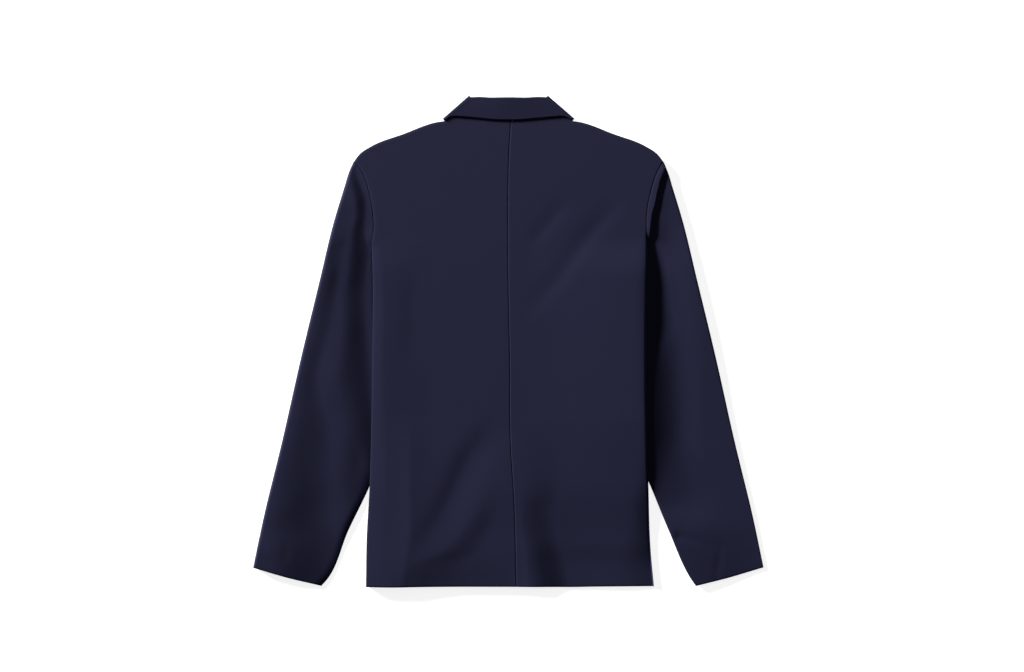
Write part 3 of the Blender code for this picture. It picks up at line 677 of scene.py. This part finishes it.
def sleeve(side, look):
    width, length, armhole_share = SLEEVE_GRID
    across = sections(width, SLEEVE_SECTIONS, SLEEVE_SECTIONS, SLEEVE_STEP)
    up = sections(length, HEM_SECTIONS, HEAD_SECTIONS)
    armhole = np.array(ARMHOLE[side][::-1], float) + (SLEEVE_SEAM, 0)
    armhole[0] = SLEEVE_OUTER[-1]
    places = patch(
        across,
        up,
        bottom=run(across, (1, SLEEVE_CUFF)),
        top=run(across, (column_at(across, armhole_share), armhole),
                (1, [armhole[-1], *SLEEVE_TUCK[side][1:]])),
        inner=run(up, (1, SLEEVE_OUTER)),
        outer=run(up, (1, SLEEVE_INNER[side])),
    )
    seen = places * (side, 1)
    opened = armhole_open(places, side)
    to_armhole, _ = nearest(places, ARMHOLE[side])
    to_outer, _ = nearest(places, SLEEVE_OUTER)
    to_inner, _ = nearest(places, [*SLEEVE_INNER[side], *SLEEVE_TUCK[side][-2::-1]])
    to_cuff, _ = nearest(places, SLEEVE_CUFF)
    top = sleeve_top(places, side) - folded(seen, SLEEVE_FOLDS[side])
    top = top - HEM_TURN * rounding(to_cuff, HEM_REACH)
    top = np.maximum(top + seam_groove(to_armhole, opened, side == LEFT), 2 * SUITING + SLEEVE_ROOM)
    fall = np.zeros(top.shape)
    rise = np.zeros(top.shape)
    for distance, edge in ((to_outer, "outer"), (to_inner, "inner")):
        share, reach = SLEEVE_TURNS[side][edge]
        if edge == "inner":
            share = share * smooth((TUCK_START - places[..., 1]) / TUCK_BLEND)
        fall = np.maximum(fall, (top - SEAM) * share * rounding(distance, reach))
        rise = np.maximum(rise, (top - SEAM) * (1 - share) * rounding(distance, UNDER_TURN))
    met = front_level(places[..., 0], places[..., 1], side) + SEAM_GROOVE
    met = met * (1 - smooth(np.abs(to_armhole) / SLEEVE_MEETS))
    lifted = folded(seen, UNDER_SLEEVE_FOLDS[side])
    under = np.minimum(np.maximum(lifted, met * opened), top - fall - 2 * SUITING - SEAM)
    under = np.maximum(np.maximum(under, 0), rise)
    name = SIDE_NAMES[side]
    grain = turned_grain(seen, -SLEEVE_LEAN * side)
    allowance = np.array(SLEEVE_ALLOWANCE) * (side, 1)
    points = with_height(places, side, top - fall)
    points, upper_grain = turned_under(points, grain, allowance, 0, at_end=True)
    # The underside of the wall stays off the surface
    points[..., 2] = np.maximum(points[..., 2], SUITING)
    upper = cloth(f"{name}_sleeve_upper", points, True, look, upper_grain)
    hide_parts(f"sleeve_{name}_upper")
    lower = cloth(f"{name}_sleeve_under", with_height(places, side, under), False, look, grain)
    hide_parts(f"sleeve_{name}_under")


def rolled_strip(name, roll, edge, inward, radius, look, thickness, dropped=0.0):
    """A strip of cloth between its roll line and its outer edge, its roll turned inward."""
    toward_roll = roll - edge
    toward_roll /= np.linalg.norm(toward_roll, axis=-1, keepdims=True)
    rows = []
    for angle in np.radians(ROLL_ANGLES):
        turned = math.sin(angle) * toward_roll + (1 - math.cos(angle)) * inward
        rows.append(roll + radius * turned)
    for share in FALL_SHARES:
        row = roll + share * (edge - roll)
        row[:, 1] -= dropped * min(share / GORGE_SHARE, (1 - share) / (1 - GORGE_SHARE))
        rows.append(row)
    points = np.array(rows)
    down = np.concatenate([np.zeros((1, points.shape[1])),
                           np.cumsum(np.linalg.norm(np.diff(points, axis=0), axis=-1), axis=0)])
    side = np.concatenate([[0], np.cumsum(np.linalg.norm(np.diff(roll, axis=0), axis=-1))])
    grain = np.stack([np.broadcast_to(side, down.shape), -down], axis=-1)
    return cloth(name, points, True, look, grain, thickness, 0.0)


def collar_line(on_back, turn_from, z_back, ended):
    """One line along half the collar: over the back, round the neck side and to its front end."""
    fold = np.subtract(FALL_TIP, ROLL_CORNER)
    outward = np.array([-fold[1], fold[0]]) / np.linalg.norm(fold)
    z_turn = turn_from[2]
    height = z_turn - LEAF_Z
    base = np.array(turn_from[:2]) - outward * FOLD_BULGE
    shares = np.linspace(0, 1, BACK_COLUMNS)[:-1]
    heights = z_back + (z_turn - z_back) * smooth(shares)
    points = [(x, y, z) for (x, y), z in zip(along([*on_back, base], shares), heights)]
    inward = [(0, 0, -1)] * len(points)
    for angle in np.linspace(0, math.pi, TURN_COLUMNS):
        side = outward * math.sin(angle)
        share = FOLD_SHARE if angle < math.pi / 2 else 1 - FOLD_SHARE
        level = z_turn - height * (FOLD_SHARE - share * math.cos(angle))
        points.append((*(base + FOLD_BULGE * side), level))
        across_fold = np.array([*(-height * share * side), -FOLD_BULGE * math.cos(angle)])
        inward.append(tuple(across_fold / np.linalg.norm(across_fold)))
    for share in np.linspace(0, 1, LEAF_COLUMNS)[1:]:
        points.append((*(base + share * (ended - base)), LEAF_Z))
        inward.append((0, 0, 1))
    return np.array(points), np.array(inward)


def collar(look):
    fold = np.subtract(FALL_TIP, ROLL_CORNER)
    corner = np.array(ROLL_CORNER) + fold / np.linalg.norm(fold) * SIDE_ROLL_RADIUS
    stand_z = STAND_TOP_SIDE - COLLAR_CLOTH / 2
    edge_z = NECK_TOP + COLLAR_CLOTH / 2 + COLLAR_GAP
    middle_y = ROLL_Y - ROLL_SAG - FALL_ROLL_RADIUS
    roll, inward = collar_line(
        [(0, middle_y), *[(x, middle_y + rise) for x, rise in ROLL_RISE]],
        (*corner, stand_z + 2 * SIDE_ROLL_RADIUS),
        stand_z + 2 * FALL_ROLL_RADIUS,
        GORGE_START,
    )
    edge, _ = collar_line(FALL_EDGE, (*FALL_TIP, edge_z), edge_z, COLLAR_POINT)
    count = len(roll)
    tightening = smooth(np.arange(count) / (BACK_COLUMNS - 1))
    radius = FALL_ROLL_RADIUS + (SIDE_ROLL_RADIUS - FALL_ROLL_RADIUS) * tightening
    leaf = np.arange(count) - (count - LEAF_COLUMNS)
    dropped = NOTCH_DROP * np.clip(leaf / (LEAF_COLUMNS - 1), 0, 1) ** 2
    mirror = np.array([-1, 1, 1])
    both = [np.concatenate([part[::-1] * mirror, part[1:]]) for part in (roll, edge, inward)]
    radii = np.concatenate([radius[::-1], radius[1:]])[:, None]
    drops = np.concatenate([dropped[::-1], dropped[1:]])
    piece = rolled_strip("collar_fall", *both, radii, look, COLLAR_CLOTH, drops)
    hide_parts("collar")


def collar_stand(look):
    columns, rows = STAND_GRID
    across = np.linspace(0, 1, columns)
    up = np.linspace(0, 1, rows)
    half_neck = [(0, BACK_NECK[0][1]), *BACK_NECK[1:-1], STAND_END]
    neck = [(-x, y) for x, y in half_neck[:0:-1]] + half_neck
    top = [(-STAND_TOP[0], STAND_TOP[1]), (0, ROLL_Y - ROLL_SAG - FALL_ROLL_RADIUS - STAND_GAP), STAND_TOP]
    neck = run(across, (1, neck)) + (0, COLLAR_GAP)
    roll = run(across, (1, top))
    places = patch(
        across,
        up,
        bottom=neck,
        top=roll,
        inner=neck[0] + up[:, None] * (roll[0] - neck[0]),
        outer=neck[-1] + up[:, None] * (roll[-1] - neck[-1]),
    )
    z = np.full(places.shape[:2], STAND_TOP_SIDE)
    piece = cloth("neck_stand", with_height(places, 1, z), True, look, places, COLLAR_CLOTH)
    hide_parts("collar_stand")


def lapel(side, look):
    shares = np.linspace(0, 1, LAPEL_COLUMNS)
    roll = along(LAPEL_ROLL, shares)
    edge = along(LAPEL_EDGE, shares)
    level = np.full((len(shares), 1), LEAF_Z)
    mirror = np.array([side, 1, 1])
    upward = np.tile([0.0, 0.0, 1.0], (len(shares), 1))
    roll = np.hstack([roll, level]) * mirror
    edge = np.hstack([edge, level]) * mirror
    name = SIDE_NAMES[side]
    piece = rolled_strip(f"{name}_lapel", roll, edge, upward, SIDE_ROLL_RADIUS, look, COLLAR_CLOTH)
    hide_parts(f"lapel_{name}")


def button(place, y, look):
    """A four-hole horn button with its dished face down."""
    form = bmesh.new()
    radius, face_z = BUTTON_RIM[0]
    back_z = BUTTON_RIM[-1][1]
    bmesh.ops.create_circle(form, segments=BUTTON_STEPS, radius=radius)
    for x in (-HOLE_PLACE, HOLE_PLACE):
        for hole_y in (-HOLE_PLACE, HOLE_PLACE):
            bmesh.ops.create_circle(form, segments=HOLE_SIDES, radius=HOLE_RADIUS,
                                    matrix=Matrix.Translation((x, hole_y, 0)))
    bmesh.ops.triangle_fill(form, edges=form.edges[:], use_beauty=True, normal=(0, 0, 1))
    bmesh.ops.translate(form, verts=form.verts[:], vec=(0, 0, face_z))
    raised = bmesh.ops.extrude_face_region(form, geom=form.faces[:], use_keep_orig=True)
    moved = [part for part in raised["geom"] if isinstance(part, bmesh.types.BMVert)]
    bmesh.ops.translate(form, verts=moved, vec=(0, 0, back_z - face_z))
    # The rim takes the place of the extruded outer wall
    wall = [face for face in form.faces if all(vert.co.xy.length > radius - 0.1 for vert in face.verts)
            and abs(face.normal.z) < 0.5]
    bmesh.ops.delete(form, geom=wall, context="FACES_ONLY")
    rim = [form.verts.new((x, 0, z)) for x, z in BUTTON_RIM]
    edges = [form.edges.new(pair) for pair in zip(rim[:-1], rim[1:])]
    bmesh.ops.spin(form, geom=rim + edges, cent=(0, 0, 0), axis=(0, 0, 1), angle=math.tau,
                   steps=BUTTON_STEPS, use_merge=True, use_duplicate=False)
    bmesh.ops.remove_doubles(form, verts=form.verts, dist=TOUCHING)
    bmesh.ops.recalc_face_normals(form, faces=form.faces)
    for edge in form.edges:
        edge.smooth = edge.calc_face_angle(0) < SHARP
    piece = shown(f"{place}_button", placed(form, y), look)
    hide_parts(f"button_{place}")


def placed(form, y):
    """A small form modelled in millimetres about the centre front, brought to its place."""
    bmesh.ops.scale(form, verts=form.verts, vec=(MM, MM, MM))
    bmesh.ops.translate(form, verts=form.verts, vec=(0, y * MM, 0))
    return form


def button_thread(place, y, look):
    """Two flat stitches that cross the face of a button from hole to hole, their ends in the holes."""
    form = bmesh.new()
    for stitch_y in (-HOLE_PLACE, HOLE_PLACE):
        ring = bmesh.ops.create_circle(form, segments=THREAD_SIDES, radius=THREAD_RADIUS, cap_ends=True,
                                       matrix=Matrix.Translation((HOLE_PLACE, stitch_y, 0)))["verts"]
        end = [face for face in form.faces if face.verts[0] in ring]
        bmesh.ops.spin(form, geom=end, cent=(0, stitch_y, 0), axis=(0, 1, 0), angle=math.pi,
                       steps=THREAD_STEPS)
    bmesh.ops.scale(form, verts=form.verts, vec=(1, 1, THREAD_FLATNESS))
    bmesh.ops.translate(form, verts=form.verts, vec=(0, 0, BUTTON_RIM[0][1] + THREAD_DEPTH))
    bmesh.ops.recalc_face_normals(form, faces=form.faces)
    shown(f"{place}_button_thread", placed(form, y), look)


def buttonhole(place, y, look):
    """The worked edge of a buttonhole, from the button's shank away from the front edge."""
    form = bmesh.new()
    bmesh.ops.create_circle(form, segments=BUTTONHOLE_SIDES, radius=BUTTONHOLE_RADIUS, cap_ends=True)
    far = [vert for vert in form.verts if vert.co.x < -TOUCHING]
    bmesh.ops.translate(form, verts=far, vec=(-BUTTONHOLE_LENGTH, 0, 0))
    bmesh.ops.inset_region(form, faces=form.faces[:], thickness=BUTTONHOLE_EDGE, use_boundary=True,
                           use_even_offset=True)
    slit = max(form.faces, key=lambda face: len(face.verts))
    bmesh.ops.delete(form, geom=[slit], context="FACES_ONLY")
    bmesh.ops.translate(form, verts=form.verts[:], vec=(0, 0, BUTTON_LIFT))
    sunk = bmesh.ops.extrude_face_region(form, geom=form.faces[:], use_keep_orig=True)
    moved = [part for part in sunk["geom"] if isinstance(part, bmesh.types.BMVert)]
    bmesh.ops.translate(form, verts=moved, vec=(0, 0, -BUTTONHOLE_HEIGHT))
    bmesh.ops.recalc_face_normals(form, faces=form.faces)
    shown(f"{place}_buttonhole", placed(form, y), look)


# Looks

NAVY = (0.0165, 0.0173, 0.0460, 1)


def pattern(nodes, links, kind, where, **settings):
    """A procedural texture of this kind on these coordinates, its sockets set."""
    made = nodes.new(kind)
    for socket, value in settings.items():
        made.inputs[socket].default_value = value
    links.new(where, made.inputs["Vector"])
    return made


def weave_group():
    """Twill lines, single threads and slow shade differences of a fine worsted cloth."""
    group = bpy.data.node_groups.new("worsted twill", "ShaderNodeTree")
    for socket, default in (("Ribs", 450.0), ("Unevenness", 0.1), ("Mottle", 0.06)):
        made = group.interface.new_socket(socket, in_out="INPUT", socket_type="NodeSocketFloat")
        made.default_value = default
    group.interface.new_socket("Shade", in_out="OUTPUT", socket_type="NodeSocketFloat")
    group.interface.new_socket("Height", in_out="OUTPUT", socket_type="NodeSocketFloat")
    nodes, links = group.nodes, group.links
    given = nodes.new("NodeGroupInput")
    result = nodes.new("NodeGroupOutput")
    cut = nodes.new("ShaderNodeUVMap")
    cut.uv_map = "cut"
    flat = cut.outputs["UV"]
    ribs = pattern(nodes, links, "ShaderNodeTexWave", flat, Distortion=0.6, Detail=1.0)
    ribs.bands_direction = "DIAGONAL"
    links.new(given.outputs["Ribs"], ribs.inputs["Scale"])
    threads = pattern(nodes, links, "ShaderNodeTexNoise", flat, Scale=1400.0, Detail=2.0)
    slow = pattern(nodes, links, "ShaderNodeTexNoise", flat, Scale=38.0, Detail=5.0, Roughness=0.6)

    def maths(operation, first, second):
        made = nodes.new("ShaderNodeMath")
        made.operation = operation
        for socket, value in zip(made.inputs, (first, second)):
            if isinstance(value, (int, float)):
                socket.default_value = value
            else:
                links.new(value, socket)
        return made.outputs["Value"]

    ribbed = maths("MULTIPLY", maths("SUBTRACT", ribs.outputs["Fac"], 0.5), given.outputs["Unevenness"])
    fuzzy = maths("MULTIPLY", maths("SUBTRACT", threads.outputs["Fac"], 0.5), given.outputs["Unevenness"])
    mottled = maths("MULTIPLY", maths("SUBTRACT", slow.outputs["Fac"], 0.5), given.outputs["Mottle"])
    shade = maths("ADD", maths("ADD", ribbed, fuzzy), maths("ADD", mottled, 1.0))
    links.new(shade, result.inputs["Shade"])
    rib_height = maths("MULTIPLY", ribs.outputs["Fac"], 0.7)
    thread_height = maths("MULTIPLY", threads.outputs["Fac"], 0.3)
    links.new(maths("ADD", rib_height, thread_height), result.inputs["Height"])
    return group


def new_look(name, **settings):
    """A material whose own sockets have these values, as words joined by underscores."""
    look = bpy.data.materials.new(name)
    look.use_nodes = True
    shader = look.node_tree.nodes["Principled BSDF"]
    for socket, value in settings.items():
        shader.inputs[socket.replace("_", " ")].default_value = value
    return look, look.node_tree.nodes, look.node_tree.links, shader


def raise_by(nodes, links, shader, height, strength, distance):
    """Bumps the shader's normal by a height, over a distance in metres."""
    raised = nodes.new("ShaderNodeBump")
    raised.inputs["Strength"].default_value = strength
    raised.inputs["Distance"].default_value = distance
    links.new(height, raised.inputs["Height"])
    links.new(raised.outputs["Normal"], shader.inputs["Normal"])


def tone_by(nodes, links, shader, mask, tones):
    """Colours the shader from dark to light by a mask, with tones as (position, colour)."""
    ramp = nodes.new("ShaderNodeValToRGB")
    for element, (position, colour) in zip(ramp.color_ramp.elements, tones):
        element.position = position
        element.color = colour
    links.new(mask, ramp.inputs["Fac"])
    links.new(ramp.outputs["Color"], shader.inputs["Base Color"])


def suiting():
    """Navy worsted with its twill and a faint sheen."""
    look, nodes, links, shader = new_look(
        "navy twill", Roughness=0.75, Specular_IOR_Level=0.12, Sheen_Weight=0.15, Sheen_Roughness=0.5,
        Sheen_Tint=(0.35, 0.4, 0.75, 1),
    )
    cloth_weave = nodes.new("ShaderNodeGroup")
    cloth_weave.node_tree = weave_group()
    tint = nodes.new("ShaderNodeMix")
    tint.data_type = "RGBA"
    tint.blend_type = "MULTIPLY"
    tint.inputs["Factor"].default_value = 1.0
    tint.inputs["A"].default_value = NAVY
    links.new(cloth_weave.outputs["Shade"], tint.inputs["B"])
    links.new(tint.outputs["Result"], shader.inputs["Base Color"])
    raise_by(nodes, links, shader, cloth_weave.outputs["Height"], 0.25, 0.0002)
    return look


def thread_look():
    """Twisted silk thread, a little brighter than the cloth."""
    look, nodes, links, shader = new_look("navy thread", Roughness=0.5, Sheen_Weight=0.3)
    where = nodes.new("ShaderNodeTexCoord")
    twist = pattern(nodes, links, "ShaderNodeTexWave", where.outputs["Object"], Scale=1100.0, Distortion=0.5)
    twist.bands_direction = "DIAGONAL"
    tone_by(nodes, links, shader, twist.outputs["Fac"],
            [(0, (0.006, 0.007, 0.018, 1)), (1, (0.022, 0.024, 0.055, 1))])
    raise_by(nodes, links, shader, twist.outputs["Fac"], 0.6, 0.0001)
    return look


def horn_look():
    look, nodes, links, shader = new_look("dark horn", Roughness=0.32)
    where = nodes.new("ShaderNodeTexCoord")
    streaks = pattern(nodes, links, "ShaderNodeTexNoise", where.outputs["Object"], Scale=160.0, Detail=4.0)
    tone_by(nodes, links, shader, streaks.outputs["Fac"],
            [(0.35, (0.006, 0.006, 0.009, 1)), (0.75, (0.028, 0.024, 0.026, 1))])
    return look


# The studio, in metres and degrees

FLOOR_HALF = 4.0
FLOOR_Z = -0.0003
CAMERA_PLACE = (0.00525, 0.009, 3.6327)
CAMERA_LENS = 85
SENSOR_WIDTH = 36
SKY_STRENGTH = 0.014
FLOOR_GLOW = 0.85  # keeps the surface white where the camera sees it


def floor():
    form = bmesh.new()
    bmesh.ops.create_grid(form, x_segments=1, y_segments=1, size=FLOOR_HALF)
    mesh = bpy.data.meshes.new("surface")
    form.to_mesh(mesh)
    form.free()
    surface = bpy.data.objects.new("surface", mesh)
    surface.location.z = FLOOR_Z
    bpy.context.scene.collection.objects.link(surface)
    look, nodes, links, shader = new_look(
        "pale surface", Base_Color=(0.93, 0.93, 0.93, 1), Roughness=0.9, Specular_IOR_Level=0.0,
        Emission_Color=(1, 1, 1, 1),
    )
    seen_by_camera = nodes.new("ShaderNodeLightPath")
    glow = nodes.new("ShaderNodeMath")
    glow.operation = "MULTIPLY"
    glow.inputs[1].default_value = FLOOR_GLOW
    links.new(seen_by_camera.outputs["Is Camera Ray"], glow.inputs[0])
    links.new(glow.outputs["Value"], shader.inputs["Emission Strength"])
    mesh.materials.append(look)


def area_light(name, power, size, azimuth, elevation, distance):
    lamp = bpy.data.lights.new(name, "AREA")
    lamp.energy = power
    lamp.size = size
    made = bpy.data.objects.new(name, lamp)
    a, e = math.radians(azimuth), math.radians(elevation)
    made.location = (distance * math.cos(e) * math.cos(a), distance * math.cos(e) * math.sin(a),
                     distance * math.sin(e))
    made.rotation_euler = (math.radians(90 - elevation), 0, math.radians(azimuth + 90))
    bpy.context.scene.collection.objects.link(made)


def studio():
    area_light("side softbox", power=8000, size=3.5, azimuth=145, elevation=12, distance=16.0)
    area_light("overhead fill", power=3.0, size=1.4, azimuth=75, elevation=55, distance=2.0)
    world = bpy.data.worlds.new("studio")
    world.use_nodes = True
    sky = world.node_tree.nodes["Background"]
    sky.inputs["Color"].default_value = (1, 1, 1, 1)
    sky.inputs["Strength"].default_value = SKY_STRENGTH
    bpy.context.scene.world = world
    bpy.context.scene.view_settings.view_transform = "Standard"


def camera():
    lens = bpy.data.cameras.new("above")
    lens.lens = CAMERA_LENS
    lens.sensor_width = SENSOR_WIDTH
    seen = bpy.data.objects.new("above", lens)
    seen.location = CAMERA_PLACE
    bpy.context.scene.collection.objects.link(seen)
    bpy.context.scene.camera = seen


navy_twill = suiting()
navy_thread = thread_look()
horn = horn_look()
for body_side in (LEFT, RIGHT):
    back_panel(body_side, navy_twill)
    front_panel(body_side, navy_twill)
    sleeve(body_side, navy_twill)
    lapel(body_side, navy_twill)
collar(navy_twill)
collar_stand(navy_twill)
for button_place, button_y in BUTTON_PLACES:
    button(button_place, button_y, horn)
    button_thread(button_place, button_y, navy_thread)
    buttonhole(button_place, button_y, navy_thread)
floor()
studio()
camera()
